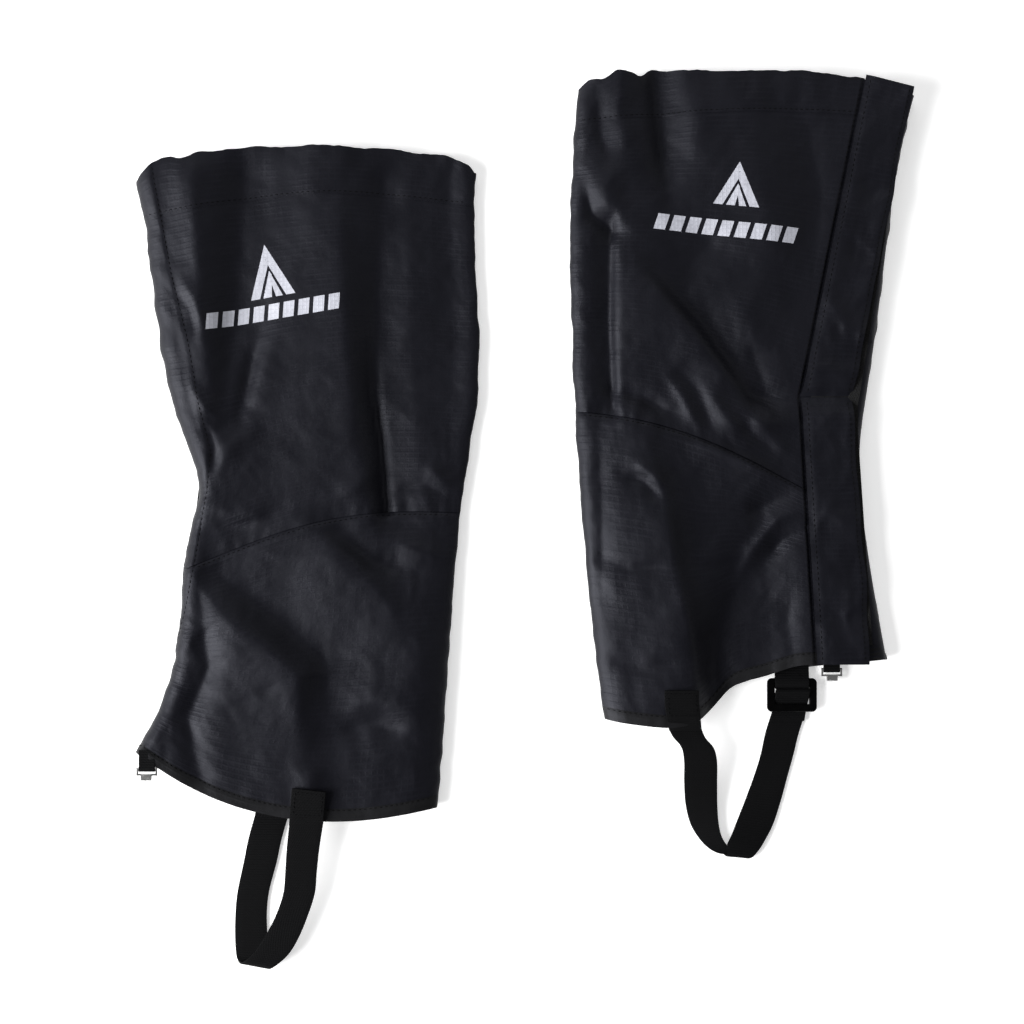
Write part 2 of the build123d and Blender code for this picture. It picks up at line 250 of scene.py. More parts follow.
# Folds of each gaiter's upper layer as it lies: path, rise, width on its left side and on its
# right side as one walks along it, and its strength at the two ends.
LEFT_FOLDS = [
    ([(-206, 215), (-199, 117), (-189, 50)], 4.2, 14, 14, 1, 0.5),
    ([(-174, 210), (-181, 117), (-188, 58)], -4.6, 30, 12, 1, 0.4),
    ([(-115, 215), (-112, 140), (-108, 86), (-101, 40), (-94, 8)], 3.6, 8, 36, 0.6, 0.5),
    ([(-88, 208), (-92, 136), (-92, 80), (-88, 40), (-86, 6)], -3.7, 20, 8, 0.5, 1.1),
    ([(-48, 214), (-44, 110), (-48, 14)], -5.4, 20, 44, 1, 0.6),
    ([(-95, 110), (-93, 78), (-88, 40), (-86, 5)], -2.4, 2.5, 3, 0.2, 1.3),
    ([(-72, 208), (-70, 120), (-64, 16)], 1.3, 22, 12, 0.8, 0.7),
    ([(-166, 116), (-177, 64)], -2.2, 5, 3, 0.3, 0.5),
    ([(-158, 108), (-170, 64)], 1.4, 10, 5, 0.3, 0.2),
    ([(-214, 152), (-206, 138), (-200, 120)], 1.6, 5, 5, 0.2, 0.2),
    ([(-213, 141), (-206, 130), (-203, 108)], -1.5, 4, 4, 0.2, 0.2),
    ([(-207, 84), (-198, 70), (-190, 64)], 1.8, 5, 4, 0.4, 0.2),
    ([(-202, 68), (-194, 56), (-187, 36)], 1.6, 4, 5, 0.3, 0.2),
    ([(-197, 62), (-191, 44), (-194, 28)], -2.2, 4, 4, 0.3, 0.4),
    ([(-190, 32), (-180, 46), (-160, 60)], 1.6, 7, 6, 0.6, 0.1),
    ([(-198, 10), (-180, 2), (-150, 4)], 1.6, 8, 6, 0.4, 0.1),
    ([(-200, -8), (-176, -4), (-140, 8)], -1.4, 6, 5, 0.6, 0.2),
    ([(-120, 14), (-104, 20), (-92, 34)], 1.4, 6, 6, 0.2, 0.4),
    ([(-62, 36), (-50, 24), (-42, 22)], 1.4, 5, 5, 0.2, 0.3),
    ([(-80, 16), (-64, 22), (-46, 14)], -1.2, 4, 4, 0.3, 0.3),
    ([(-204, -38), (-188, -58), (-160, -78), (-140, -97), (-140, -150)], 5.2, 10, 32, 0.5, 0.3),
    ([(-190, -34), (-158, -58), (-126, -86), (-118, -130)], -3.4, 22, 9, 0.5, 0.3),
    ([(-201, -46), (-196, -91), (-209, -124), (-202, -160)], -3.2, 8, 8, 0.5, 0.7),
    ([(-132, -6), (-104, -28), (-84, -52)], 3.2, 7, 26, 0.5, 0.7),
    ([(-114, -10), (-94, -26), (-66, -34)], -2.8, 13, 6, 0.6, 0.3),
    ([(-84, -12), (-64, -20), (-48, -22)], 1.4, 6, 6, 0.3, 0.4),
    ([(-118, -136), (-96, -127), (-70, -133)], -2.6, 10, 9, 0.3, 0.3),
    ([(-120, -122), (-92, -111), (-62, -118)], 1.6, 10, 8, 0.2, 0.2),
    ([(-128, -150), (-138, -178)], 1.8, 7, 8, 0.3, 0.8),
    ([(-66, -50), (-64, -110), (-70, -160)], 1.6, 16, 26, 0.4, 0.4),
]
RIGHT_FOLDS = [
    ([(80, 278), (85, 241), (90, 200)], -5.4, 17, 7, 1.1, 0.4),
    ([(60, 278), (59, 252), (64, 226)], 2.2, 9, 9, 1, 0.3),
    ([(45, 262), (47, 240), (52, 224)], -1.8, 7, 5, 0.4, 0.6),
    ([(57, 218), (50, 205), (54, 186)], 2.4, 11, 12, 0.6, 0.5),
    ([(38, 206), (42, 190), (56, 179)], -3, 5, 6, 0.5, 1),
    ([(54, 184), (53, 120), (55, 70)], -4.4, 2.6, 13, 0.7, 1),
    ([(68, 180), (68, 120), (72, 74)], 1.2, 22, 12, 0.5, 0.4),
    ([(70, 156), (100, 122), (117, 101), (137, 75), (150, 66)], 4.4, 6, 28, 0.3, 0.5),
    ([(84, 152), (110, 122), (130, 92), (142, 74)], -3, 14, 5, 0.4, 0.6),
    ([(139, 110), (144, 96), (150, 80)], -1.5, 8, 4, 0.3, 0.4),
    ([(128, 148), (140, 120), (146, 96)], 1.6, 14, 12, 0.2, 0.5),
    ([(126, 182), (106, 162), (98, 140)], -2.6, 14, 18, 0.3, 0.3),
    ([(140, 250), (146, 205), (158, 150)], 2.4, 22, 26, 0.6, 0.3),
    ([(178, 240), (184, 200), (178, 140)], -2.4, 8, 12, 0.5, 0.4),
    ([(104, 262), (106, 230), (96, 200)], 1.8, 14, 10, 0.6, 0.3),
    ([(126, 78), (158, 75), (212, 76)], -3.2, 7, 6, 0.3, 1),
    ([(126, 60), (158, 60), (212, 63)], 2, 5, 6, 0.2, 1),
    ([(88, 90), (98, 76), (108, 56)], 1.8, 4, 3, 0.3, 0.4),
    ([(98, 92), (108, 78), (118, 54)], -1.6, 6, 4, 0.3, 0.3),
    ([(110, 86), (120, 70), (138, 50)], 1.8, 5, 8, 0.3, 0.3),
    ([(128, 68), (146, 50), (165, 34)], -1.8, 5, 5, 0.3, 0.3),
    ([(140, 64), (156, 48), (168, 38)], 1.4, 5, 7, 0.3, 0.3),
    ([(56, 80), (72, 76), (90, 66)], -2.8, 5, 5, 0.4, 0.5),
    ([(76, 46), (87, 8), (93, -30), (102, -68), (108, -126)], 6.6, 8, 42, 0.5, 1),
    ([(150, -4), (134, -38), (121, -75), (116, -126)], -6.8, 44, 14, 0.5, 1),
    ([(98, 52), (138, 36), (168, 20)], 2.2, 3, 18, 0.4, 0.5),
    ([(66, 38), (76, 30), (88, 20)], 2, 5, 4, 0.3, 0.4),
    ([(60, 28), (74, 24), (86, 10)], -2, 4, 4, 0.3, 0.4),
    ([(176, 8), (156, 0), (142, -18), (132, -40)], 2.6, 6, 4, 0.6, 0.3),
    ([(176, -6), (160, -14), (150, -26)], -2.4, 4, 5, 0.6, 0.3),
    ([(176, 20), (156, 12), (134, 0)], -1.8, 6, 8, 0.6, 0.2),
    ([(168, -36), (164, -62), (168, -90)], -2, 7, 7, 0.3, 0.5),
    ([(48, -24), (66, -31), (92, -29)], -1.6, 4, 5, 0.5, 0.3),
    ([(52, -86), (76, -94), (102, -86)], -1.3, 6, 5, 0.3, 0.3),
    ([(46, 58), (48, 10), (48, -50)], -2, 7, 7, 0.6, 0.4),
]
# Sewn line of the left gaiter's flap beside its front edge; below it the flap is out of sight.
LEFT_FLAP_SEAM = [(-231, 219), (-226, 192), (-219, 153), (-208, 109), (-202, 73), (-194.5, 42),
                  (-197, 16), (-200.5, -2), (-205, -30), (-209.8, -53), (-216, -76)]


def gather(gaiter, x, y):
    """Puckers that the elastics and the seams pull into the cloth."""
    from_seam = y - gaiter.seam(x)
    into_back = smooth(0.45, 0.75, np.abs(x - gaiter.front(y)) / np.abs(gaiter.back(y) - gaiter.front(y)))
    pull = 0.35 + 0.9 * into_back
    above = np.exp(-np.clip(from_seam, 0, 99) / 9) * (from_seam > 0)
    below = np.exp(-np.clip(-from_seam, 0, 99) / 6) * (from_seam <= 0)
    pucker = noise(x, y * 0.25, 5.5, 3) * (above + 0.6 * below) * pull * 0.9
    groove = -0.22 * hump(from_seam, 0, 1.0)
    allowance = 0.45 * hump(from_seam, -4.0, 2.2)
    from_casing = y - gaiter.casing(x)
    ruche = noise(x, y * 0.3, 13.0, 11) * (0.15 + 0.55 * smooth(-14, 4, from_casing))
    return pucker + groove + allowance + ruche


def upper_height(gaiter, x, y):
    """Height of the gaiter's upper layer away from its folded edges."""
    rise = np.full(np.shape(x), LIE)
    for path, height, before, after, start, end in LEFT_FOLDS if gaiter is left else RIGHT_FOLDS:
        rise += fold(x, y, path, height * FOLD_DEPTH, before, after, start, end)
    rise = rise + 0.9 * noise(x, y, 48, 2) + 0.5 * crumple(x, y, 34, 4)
    rise = rise + 0.28 * crumple(x, y, 12, 7) + 0.10 * crumple(x, y, 5, 8)
    rise += gather(gaiter, x, y)
    if gaiter is right:
        # It lies flatter beside the flap's sewn edge, and dips under that edge.
        from_flap = gaiter.flap_low(y) - x
        flat = smooth(30, 2, from_flap)
        rise = mix(rise, LIE + 0.4 + 0.35 * (rise - LIE), flat)
        rise -= 1.1 * smooth(2.8, 0.4, from_flap)
    else:
        for seam_rise, before, after in ((-0.6, 0.8, 0.8), (0.6, 1.0, 5.0)):
            rise += fold(x, y, LEFT_FLAP_SEAM, seam_rise, before, after)
    return np.clip(rise, 3.2, 23.0)


def rounded(distance, radius):
    """Quarter-circle shoulder beside a fold: 0 at the fold, 1 a radius away from it."""
    t = np.clip(distance / radius, 0, 1)
    return np.sqrt(np.clip(1 - (1 - t) ** 2, 0, 1))


# ---- cloth grids
def column_places(count):
    """Places across a layer, 0 to 1, closer together beside both folded edges."""
    t = np.linspace(0, 1, count)
    return t - 0.80 * np.sin(2 * math.pi * t) / (2 * math.pi)


def layer_points(upper, lower, rows, places, start, stop):
    """Plan of one layer: rows between two lines, columns between two edges. Each of the four
    depends on the others' coordinate, so a few rounds settle where they cross."""
    down, across = np.linspace(0, 1, rows)[:, None], places[None, :]
    x = np.full(across.shape, 0.0)
    for _ in range(13):
        y = mix(upper(x), lower(x), down)
        x = mix(start(y), stop(y), across)
    return x, y


COLUMNS, FLOOR_COLUMNS, MARGIN_COLUMNS = 116, 56, 22
# Heights of the folds, and how wide their rounded shoulders are.
BACK_Z, RIGHT_FRONT_Z, LEFT_FRONT_Z, MARGIN_Z = 5.2, 5.0, 2.3, 11.2
BACK_SHOULDER = {"left": 26, "right": 17}
BACK_SHOULDER_BELOW, LEFT_FRONT_SHOULDER, RIGHT_FRONT_SHOULDER, MARGIN_SHOULDER = 12, 11, 9, 7


def upper_layer(gaiter, upper, lower, rows):
    """Outer surface of the upper layer, from its front side to the back fold."""
    start = gaiter.front if gaiter is left else gaiter.flap_low
    x, y = layer_points(upper, lower, rows, column_places(COLUMNS), start, gaiter.back)
    z = upper_height(gaiter, x, y)
    z = BACK_Z + (z - BACK_Z) * rounded(np.abs(x - gaiter.back(y)), BACK_SHOULDER[gaiter.name])
    if gaiter is left:
        z = LEFT_FRONT_Z + (z - LEFT_FRONT_Z) * rounded(np.abs(x - gaiter.front(y)), LEFT_FRONT_SHOULDER)
    return np.stack([x, y, z], -1)


def floor_layer(gaiter, upper, lower, rows):
    """Outer surface of the layer on the floor, from the back fold to the front."""
    x, y = layer_points(upper, lower, rows, column_places(FLOOR_COLUMNS), gaiter.back, gaiter.front)
    lift = 0.5 + 0.5 * np.clip(noise(x, y, 40, 21) + 0.4 * noise(x, y, 13, 22), 0, 2)
    from_front = np.abs(x - gaiter.front(y))
    if gaiter is left:
        z = lift + 3.4 * smooth(40, 34, from_front)  # above the flap turned under it
    else:
        z = RIGHT_FRONT_Z + (lift - RIGHT_FRONT_Z) * rounded(from_front, RIGHT_FRONT_SHOULDER)
    z = BACK_Z + (z - BACK_Z) * rounded(np.abs(x - gaiter.back(y)), BACK_SHOULDER_BELOW)
    return np.stack([x, y, z], -1)


def margin_layer(upper, lower, rows):
    """Right gaiter: the inner panel's front edge, turned up round the front fold."""
    inner = lambda y: right.flap_low(y) - 5
    x, y = layer_points(upper, lower, rows, column_places(MARGIN_COLUMNS), right.high, inner)
    z = MARGIN_Z + 0.35 * noise(x, y, 22, 31) + 0.5 * crumple(x, y, 16, 33)
    z = z - 1.2 * smooth(4, 0, x - inner(y))
    z = RIGHT_FRONT_Z + (z - RIGHT_FRONT_Z) * rounded(right.high(y) - x, MARGIN_SHOULDER)
    return np.stack([x, y, z], -1)


def strip(gaiter, upper, lower, floor_upper, floor_lower, rows):
    """One panel all the way round: upper layer, back fold, floor layer and, on the right
    gaiter, the margin below the flap."""
    top = upper_layer(gaiter, upper, lower, rows)
    under = floor_layer(gaiter, floor_upper, floor_lower, rows)
    if gaiter is left:
        return np.concatenate([top, under[:, 1:-2]], 1)
    turned = margin_layer(floor_upper, floor_lower, rows)
    return np.concatenate([top, under[:, 1:], turned[:, 1:]], 1)


def mesh_object(name, points, faces, material, flat):
    """Smooth mesh of points in millimetres; flat holds each point's place along the cloth."""
    mesh = bpy.data.meshes.new(name)
    mesh.from_pydata((np.array(points, float) * MM).tolist(), [], faces)
    mesh.shade_smooth()
    mesh.materials.append(material)
    layer = mesh.uv_layers.new(name="cloth")
    loops = np.zeros(len(mesh.loops), int)
    mesh.loops.foreach_get("vertex_index", loops)
    layer.data.foreach_set("uv", (np.array(flat)[loops] * UV_PER_MM).astype(np.float32).ravel())
    obj = bpy.data.objects.new(name, mesh)
    scene.collection.objects.link(obj)
    return obj


def grid_object(name, points, material, flip=False, thickness=CLOTH, offset=-1.0):
    """Cloth on a grid of points in millimetres, thick on its inner side, with a sharp rim."""
    rows, columns = points.shape[:2]
    index = np.arange(rows * columns).reshape(rows, columns)
    a, b = index[:-1, :-1].ravel(), index[:-1, 1:].ravel()
    c, d = index[1:, 1:].ravel(), index[1:, :-1].ravel()
    faces = np.stack([a, b, c, d] if flip else [a, d, c, b], 1)
    steps = np.linalg.norm(np.diff(points[rows // 2], axis=0), axis=1)
    u = np.concatenate([[0], np.cumsum(steps)])
    v = np.cumsum(np.concatenate([[0], np.linalg.norm(np.diff(points, axis=0), axis=2).mean(1)]))
    flat = np.stack(np.broadcast_arrays(u[None, :], -v[:, None]), -1).reshape(-1, 2)
    obj = mesh_object(name, points.reshape(-1, 3), faces.tolist(), material, flat)
    mesh = obj.data
    used = np.zeros(len(mesh.loops), int)
    mesh.loops.foreach_get("edge_index", used)
    mesh.edges.foreach_set("use_edge_sharp", np.bincount(used, minlength=len(mesh.edges)) == 1)
    solid = obj.modifiers.new("thickness", "SOLIDIFY")
    solid.thickness = thickness * MM
    solid.offset = offset
    return obj


def patch(name, upper, lower, start, stop, height, material, rows, columns, thickness):
    """A flat-lying piece between two lines and two edges, its height given by a function."""
    x, y = layer_points(upper, lower, rows, np.linspace(0, 1, columns), start, stop)
    return grid_object(name, np.stack([x, y, height(x, y)], -1), material, thickness=thickness)


def attach(obj, body, slot, *nodes):
    """The piece rides on a body and stands for CAD nodes, which it hides; slot is not used."""
    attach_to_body(obj, body)
    if nodes:
        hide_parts(*nodes)
    return obj


def surface_of(objects):
    """Tree of some cloths' outer faces, in millimetres, for casting rays at."""
    points, faces = [], []
    for obj in objects:
        base = len(points)
        points += [tuple(v.co / MM) for v in obj.data.vertices]
        faces += [[i + base for i in p.vertices] for p in obj.data.polygons]
    return BVHTree.FromPolygons(points, faces)


def height_on(tree, x, y, default):
    """Height of the topmost face at a place in the plan, or the default beside the cloth."""
    hit = tree.ray_cast(Vector((x, y, 60)), Vector((0, 0, -1)))[0]
    return hit.z if hit else default


# ---- materials
def add_node(tree, kind, *values, **settings):
    """A shader node; its inputs are numbers, tuples or outputs of other nodes, in socket order."""
    made = tree.nodes.new("ShaderNode" + kind)
    for key, value in settings.items():
        setattr(made, key, value)
    for socket, value in zip(made.inputs, values):
        if isinstance(value, bpy.types.NodeSocket):
            tree.links.new(value, socket)
        elif value is not None:
            socket.default_value = value
    return made


class Surface:
    """A Principled material and a short way to add nodes to it."""

    def __init__(self, name, colour, roughness, **sockets):
        self.material = bpy.data.materials.new(name)
        self.material.use_nodes = True
        self.tree = self.material.node_tree
        self.shader = self.tree.nodes["Principled BSDF"]
        self.shader.inputs["Base Color"].default_value = (*colour, 1)
        self.shader.inputs["Roughness"].default_value = roughness
        for socket, value in sockets.items():
            self.shader.inputs[socket.replace("_", " ")].default_value = value

    def add(self, kind, *values, **settings):
        return add_node(self.tree, kind, *values, **settings)

    def math(self, operation, *values):
        return self.add("Math", *values, operation=operation).outputs[0]

    def plus(self, a, b):
        return self.math("ADD", a, b)

    def times(self, a, b):
        return self.math("MULTIPLY", a, b)

    def remap(self, value, a, b, low, high):
        return self.add("MapRange", value, a, b, low, high).outputs[0]

    def noise(self, where, scale, detail=4.0):
        return self.add("TexNoise", where, None, scale, detail).outputs["Fac"]

    def cloth(self):
        """Place on the cloth, in millimetres along its weft and warp."""
        place = self.add("UVMap", uv_map="cloth").outputs[0]
        scaled = self.add("VectorMath", place, (100, 100, 100), operation="MULTIPLY").outputs[0]
        parts = self.add("SeparateXYZ", scaled)
        return scaled, parts.outputs[0], parts.outputs[1]

    def object_place(self):
        """Place in the object's own axes, in millimetres."""
        place = self.add("TexCoord").outputs["Object"]
        return self.add("VectorMath", place, (1000, 1000, 1000), operation="MULTIPLY").outputs[0]

    def line(self, along, pitch, width):
        """1 on lines a pitch apart, 0 between them."""
        away = self.math("PINGPONG", along, pitch / 2)
        return self.remap(away, width / 2, width, 1, 0)

    def colour(self, share, low, high):
        ramp = self.add("ValToRGB", share)
        ramp.color_ramp.elements[0].color = (*low, 1)
        ramp.color_ramp.elements[1].color = (*high, 1)
        self.tree.links.new(ramp.outputs[0], self.shader.inputs["Base Color"])

    def roughness(self, value):
        self.tree.links.new(value, self.shader.inputs["Roughness"])

    def bump(self, height, depth_mm, strength=1.0):
        made = self.add("Bump")
        made.inputs["Strength"].default_value = strength
        made.inputs["Distance"].default_value = depth_mm * MM
        self.tree.links.new(height, made.inputs["Height"])
        self.tree.links.new(made.outputs[0], self.shader.inputs["Normal"])


RIPSTOP = 3.4  # pitch of the shell's grid of thick threads
WEAVE = 17.0  # radians of plain weave to a millimetre


def ripstop(name, dark, light, low_rough, high_rough, depth):
    """Coated ripstop nylon: thin plain weave with thicker threads in a fine grid."""
    s = Surface(name, dark, 0.45, Specular_IOR_Level=0.16, Specular_Tint=(0.86, 0.88, 1.0, 1.0))
    place, weft, warp = s.cloth()
    rows, columns = s.line(warp, RIPSTOP, 0.80), s.line(weft, RIPSTOP, 0.60)
    grid = s.math("MAXIMUM", rows, s.times(columns, 0.35))
    strong = s.remap(s.noise(place, 0.045, 3.0), 0.42, 0.62, 0.05, 1.0)
    grid = s.times(grid, strong)
    weave = s.times(s.math("SINE", s.times(weft, WEAVE)), s.math("SINE", s.times(warp, WEAVE)))
    crinkle = s.noise(place, 0.16, 6.0)
    wear = s.noise(place, 0.03, 5.0)
    s.colour(s.plus(s.times(grid, 0.22), s.times(wear, 0.6)), dark, light)
    worn = s.plus(wear, s.times(grid, 0.12))
    s.roughness(s.remap(worn, 0.3, 0.8, low_rough, high_rough))
    height = s.plus(s.times(grid, 0.5), s.times(weave, 0.06))
    s.bump(s.plus(height, s.times(crinkle, 1.6)), depth)
    return s.material


def woven_band(name, dark, light, rib, depth):
    """Webbing and elastic: ribs along the band, crossed by slanting threads."""
    s = Surface(name, dark, 0.72, Specular_IOR_Level=0.05)
    place, along, across = s.cloth()
    ribs = s.math("ABSOLUTE", s.math("SINE", s.times(across, math.pi / rib)))
    slant = s.plus(s.times(across, 1.6), s.times(along, 3.4))
    threads = s.math("ABSOLUTE", s.math("SINE", slant))
    fuzz = s.noise(place, 0.9, 5.0)
    weave = s.plus(s.times(ribs, 0.6), s.times(threads, 0.4))
    s.colour(s.times(s.plus(weave, fuzz), 0.5), dark, light)
    s.roughness(s.remap(fuzz, 0.3, 0.7, 0.62, 0.82))
    s.bump(s.plus(weave, s.times(fuzz, 0.4)), depth)
    return s.material


def pile(name, dark, light, cell, depth):
    """Loop and hook tapes: close rows of small loops or hooks."""
    s = Surface(name, dark, 0.9, Specular_IOR_Level=0.15)
    place, _, _ = s.cloth()
    cells = s.add("TexVoronoi", place, None, 1 / cell).outputs["Distance"]
    top = s.remap(cells, 0.1, 0.6, 1, 0)
    fuzz = s.noise(place, 1.6, 6.0)
    s.colour(s.times(s.plus(top, fuzz), 0.5), dark, light)
    s.roughness(s.remap(fuzz, 0.2, 0.8, 0.8, 1.0))
    s.bump(s.plus(top, fuzz), depth)
    return s.material


def moulded(name, colour, light, metallic, low_rough, high_rough, depth, grain):
    """Injection-moulded plastic, or bent and plated wire."""
    s = Surface(name, colour, low_rough, Metallic=metallic, Specular_IOR_Level=0.5 if metallic else 0.07)
    place = s.object_place()
    fine, wide = s.noise(place, grain, 3.0), s.noise(place, grain / 12, 4.0)
    s.colour(wide, colour, light)
    s.roughness(s.remap(wide, 0.3, 0.7, low_rough, high_rough))
    s.bump(fine, depth, 0.6)
    return s.material


def print_ink(name):
    """Matt pale grey screen print, a little worn where the cloth's threads stand up."""
    s = Surface(name, (0.40, 0.40, 0.45), 0.55)
    place, weft, warp = s.cloth()
    grid = s.math("MAXIMUM", s.line(warp, 2.5, 0.4), s.line(weft, 2.5, 0.4))
    worn = s.noise(place, 0.5, 6.0)
    tone = s.math("SUBTRACT", s.plus(worn, 0.25), s.times(grid, 0.1))
    s.colour(tone, (0.26, 0.26, 0.30), (0.46, 0.47, 0.53))
    s.roughness(s.remap(worn, 0.3, 0.7, 0.45, 0.7))
    s.bump(s.plus(grid, worn), 0.06)
    return s.material


SHELL = ripstop("ripstop_nylon", (0.0026, 0.0026, 0.0042), (0.0064, 0.0064, 0.0098), 0.44, 0.57, 0.16)
HEM = ripstop("hem_nylon", (0.0034, 0.0033, 0.0034), (0.0074, 0.0072, 0.0072), 0.46, 0.60, 0.14)
ELASTIC = woven_band("elastic_tape", (0.004, 0.004, 0.004), (0.014, 0.014, 0.014), 1.1, 0.25)
WEBBING = woven_band("strap_webbing", (0.0012, 0.0012, 0.0014), (0.0046, 0.0047, 0.0052), 1.6, 0.25)
LOOP = pile("loop_tape", (0.006, 0.006, 0.006), (0.022, 0.022, 0.023), 0.7, 0.35)
HOOK = pile("hook_tape", (0.005, 0.005, 0.005), (0.016, 0.016, 0.017), 1.3, 0.6)
PLASTIC = moulded("buckle_plastic", (0.0005, 0.0005, 0.0006), (0.0012, 0.0012, 0.0014),
                  0.0, 0.22, 0.34, 0.04, 2.2)
METAL = moulded("hook_metal", (0.62, 0.62, 0.62), (0.80, 0.80, 0.79), 1.0, 0.18, 0.34, 0.02, 1.5)
INK = print_ink("printed_mark")
THREAD = woven_band("sewing_thread", (0.0012, 0.0012, 0.0014), (0.0045, 0.0045, 0.0050), 0.5, 0.08)


# ---- shell of each gaiter
PANEL_STEP = 1.9  # about the distance between a panel's rows
# How far a panel's first rows dip, which draws the seam above it, and the casing's lift.
ROW_DIPS = {"ankle_panel": (1.3, 0.6), "hem_binding": (0.6,)}
CASING_LIFT = 0.3


class Shell:
    """Visible cloth of one gaiter, and what its stitches and print are laid on."""

    def __init__(self, g):
        self.gaiter = g
        self.body = f"{g.name}_gaiter"
        middle = (g.low(50) + g.high(50)) / 2
        below_casing = lambda x: g.casing(x) - 1.0
        above_seam = lambda x: g.seam(x) + 1.4
        shell, hem = (SHELL, CLOTH, "nylon_shell"), (HEM, HEM_CLOTH, "hem_fabric")
        spans = [
            ("top_casing", g.top, below_casing, g.top, below_casing, SHELL, CLOTH, "hem_fabric"),
            ("calf_panel", g.casing, g.seam, g.casing, g.seam, *shell),
            ("ankle_panel", above_seam, g.stitch, g.seam, g.medial_stitch, *shell),
            ("hem_binding", g.stitch, g.hem, g.medial_stitch, g.medial_hem, *hem),
        ]
        made = []
        for piece, upper, lower, floor_upper, floor_lower, material, thickness, slot in spans:
            rows = max(4, int(abs(upper(middle) - lower(middle)) / PANEL_STEP))
            points = strip(g, upper, lower, floor_upper, floor_lower, rows)
            for row, dip in enumerate(ROW_DIPS.get(piece, ())):
                points[row, :COLUMNS, 2] -= dip
            if piece == "top_casing":
                points[:, :COLUMNS, 2] += CASING_LIFT
            cloth = grid_object(f"{g.name}_{piece}_cloth", points, material, g is right, thickness)
            made.append(attach(cloth, self.body, slot, f"{g.name}_{piece}"))
        self.tree = surface_of(made)

    def height(self, x, y, default=HEIGHT):
        return height_on(self.tree, x, y, default)


class Stitching:
    """Short raised stitches laid on a surface, all in one mesh."""

    def __init__(self):
        self.points, self.faces = [], []

    def one(self, a, b, radius=0.22, sunk=0.25):
        """One stitch: a flattened six-sided tube between two sunk points."""
        a, b = np.array(a), np.array(b)
        along = (b - a) / np.linalg.norm(b - a)
        side = np.cross(along, (0, 0, 1))
        side /= np.linalg.norm(side)
        up = np.cross(side, along)
        turns = [turn * math.pi / 3 for turn in range(6)]
        ring = radius * np.array([math.cos(t) * side + 0.8 * math.sin(t) * up for t in turns])
        base = len(self.points)
        near, far = (a + (b - a) * share + ring for share in (0.25, 0.75))
        self.points += [a - up * sunk, *near, *far, b - up * sunk]
        for turn in range(6):
            i, j = base + 1 + turn, base + 1 + (turn + 1) % 6
            self.faces += [[base, j, i], [i, j, j + 6, i + 6], [base + 13, i + 6, j + 6]]

    def run(self, path, height, step=STITCH_STEP, length=STITCH, lift=0.1):
        """Stitches along a plan path, on a surface whose height is a function of x and y."""
        path = np.array(path, float)
        reach = np.concatenate([[0], np.cumsum(np.hypot(*np.diff(path, axis=0).T))])
        for start in np.arange(0.6, reach[-1] - length, step):
            ends = [[np.interp(at, reach, path[:, k]) for k in (0, 1)] for at in (start, start + length)]
            self.one(*[(x, y, height(x, y) + lift) for x, y in ends])

    def make(self, name, body):
        """The mesh of all of them, riding on a body."""
        points = np.array(self.points)
        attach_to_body(mesh_object(name, points, self.faces, THREAD, points[:, :2]), body)


def along_line(line, start, stop, shift=0.0):
    return [(x, float(line(x)) + shift) for x in np.arange(start, stop, 2.0)]


def along_edge(edge, start, stop, shift=0.0):
    return [(float(edge(y)) + shift, y) for y in np.arange(start, stop, -2.0)]


shells = {g.name: Shell(g) for g in (left, right)}


# ---- margins, flaps and tapes
def left_margin():
    """Front margin of the left gaiter's inner panel, which lies above the flap."""
    start = lambda y: left.low(y) + 2.5
    stop = lambda y: left.low(y) + 38
    upper = lambda x: left.top(x) - 1.5
    lower = lambda x: left.medial_stitch(x) + 1.0
    height = lambda x, y: 4.4 + 0.25 * crumple(x, y, 14, 41)
    return patch("left_front_margin_cloth", upper, lower, start, stop, height, SHELL, 120, 14, 0.8)


def right_margin():
    """Front margin of the right gaiter's inner panel, turned up below the flap."""
    points = margin_layer(lambda x: right.top(x) - 1.0, right.medial_hem, 170)
    return grid_object("right_front_margin_cloth", points, SHELL, True, 0.7)


def lay_tape(node, material, slot, body, thickness):
    """A tape with its upper face at the top of its CAD node."""
    low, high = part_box(node)
    start, stop = Line([node], 1, False), Line([node], 1, True)
    top, foot, upper_face = high.y / MM, low.y / MM, high.z / MM
    drop = 1.2 if node.startswith("right_hook") else 0.25  # the right flap's cloth lies just above
    upper, lower = (lambda x: top + 0 * x), (lambda x: foot + 0 * x)
    height = lambda x, y: upper_face - drop + 0.15 * noise(x, y, 19, 51)
    rows = int((top - foot) / 2.5)
    made = patch(node + "_strip", upper, lower, start, stop, height, material, rows, 12, thickness)
    attach(made, body, slot, node)


# Flap sections, as the CAD cuts them: sewn edge's calf and foot ends, free edge's foot and calf ends.
FLAPS = {
    "left_flap_upper": [(-239.6, 198), (-205.1, 36), (-173.8, 42.7), (-208.3, 204.6)],
    "left_flap_lower": [(-204.3, 20), (-223, -128), (-191.3, -132), (-172.6, 16)],
    "right_flap_upper": [(212, 275.8), (171.8, 76.3), (203.5, 76.3), (241.2, 267.8)],
    "right_flap_lower": [(171.8, 75.7), (181.7, -90), (214.5, -90), (203.5, 75.7)],
}
FLAP_WIDTH = 33
LEFT_FLAP_INSET = 1.2  # from the hinge to the left sections' sewn edge
FLAP_BEND = 3.2  # where those sections are free of the gaiter and turn as one
FLAP_STITCHES = (3.4, 30.0)
# Folds of the right flap as it lies: path, rise, width on its left side and on its right side.
RIGHT_FLAP_FOLDS = [
    ([(186, 140), (200, 120), (214, 112)], 1.6, 7, 5),
    ([(204, 215), (216, 205), (230, 206)], -1.6, 9, 7),
    ([(180, 10), (196, 0), (208, -4)], 1.4, 8, 6),
    ([(184, -50), (198, -62), (212, -60)], -1.3, 7, 8),
]


